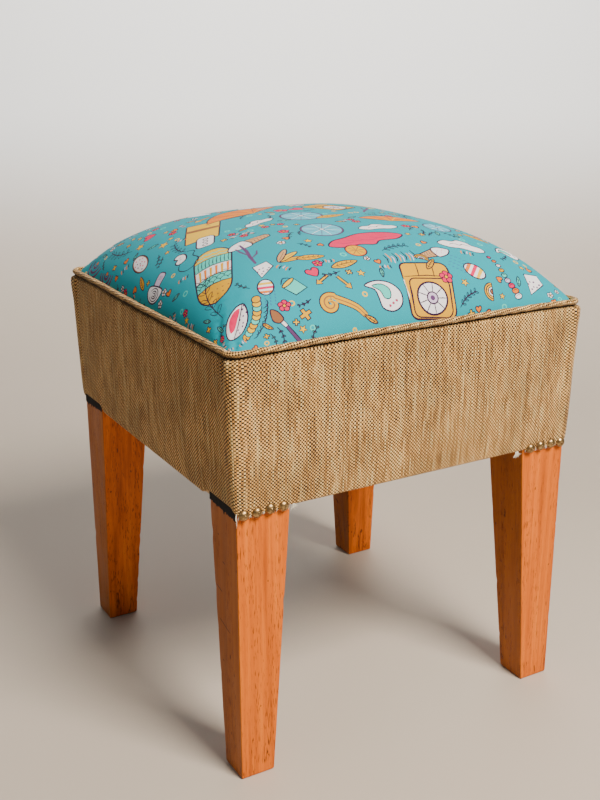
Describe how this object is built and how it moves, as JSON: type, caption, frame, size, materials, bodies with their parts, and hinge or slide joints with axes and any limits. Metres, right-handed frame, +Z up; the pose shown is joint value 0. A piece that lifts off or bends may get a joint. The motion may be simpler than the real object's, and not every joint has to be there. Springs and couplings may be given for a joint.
{
  "type": "upholstered footstool",
  "caption": "Square upholstered footstool with tapered wooden legs, a piped boxing band, domed brass nails and a domed seat in printed cotton.",
  "frame": {"origin": "centre of the seat's plan, on the floor under the feet", "axes": "+Z up; -Y is the front, whose legs carry the row of nails the picture shows; +X to the right seen from the front"},
  "size_m": [0.404, 0.414, 0.514],
  "materials": {
    "leg_wood": "honey varnish, satin, worn at the edges",
    "frame_wood": "sawn pine, unfinished",
    "dowel_wood": "turned beech, unfinished",
    "steel": "bright zinc plated wire and screws",
    "webbing": "herringbone jute webbing",
    "hessian": "open plain-weave jute",
    "foam": "open-cell polyurethane foam",
    "wadding": "bonded polyester wadding",
    "band_cloth": "coarse slubbed weave in tan and brown",
    "cotton_cord": "undyed cotton yarn",
    "printed_cotton": "plain-weave cotton, teal with a small multicoloured print",
    "black_lining": "black cambric",
    "brass": "antique brass, domed, rubbed bright on top"
  },
  "bodies": {
    "root": {"leg_front_left": "leg_wood", "leg_front_right": "leg_wood", "leg_back_left": "leg_wood", "leg_back_right": "leg_wood", "rail_front": "frame_wood", "rail_back": "frame_wood", "rail_left": "frame_wood", "rail_right": "frame_wood", "rail_dowels": "dowel_wood", "block_front_left": "frame_wood", "block_front_right": "frame_wood", "block_back_left": "frame_wood", "block_back_right": "frame_wood", "block_screws": "steel", "web_cross_1": "webbing", "web_cross_2": "webbing", "web_cross_3": "webbing", "web_cross_4": "webbing", "web_long_1": "webbing", "web_long_2": "webbing", "web_long_3": "webbing", "web_long_4": "webbing", "web_staples": "steel", "hessian": "hessian", "foam_slab": "foam", "foam_crown": "foam", "crown_wadding": "wadding", "side_wadding": "wadding", "boxing_band": "band_cloth", "band_staples": "steel", "piping_cover": "band_cloth", "piping_cord": "cotton_cord", "top_cover": "printed_cotton", "dust_cover": "black_lining", "dust_staples": "steel", "lining_front_left": "black_lining", "lining_front_right": "black_lining", "lining_back_left": "black_lining", "lining_back_right": "black_lining", "nails_front_left": "brass", "nails_front_right": "brass", "nails_back_left": "brass", "nails_back_right": "brass"}
  },
  "joints": []
}
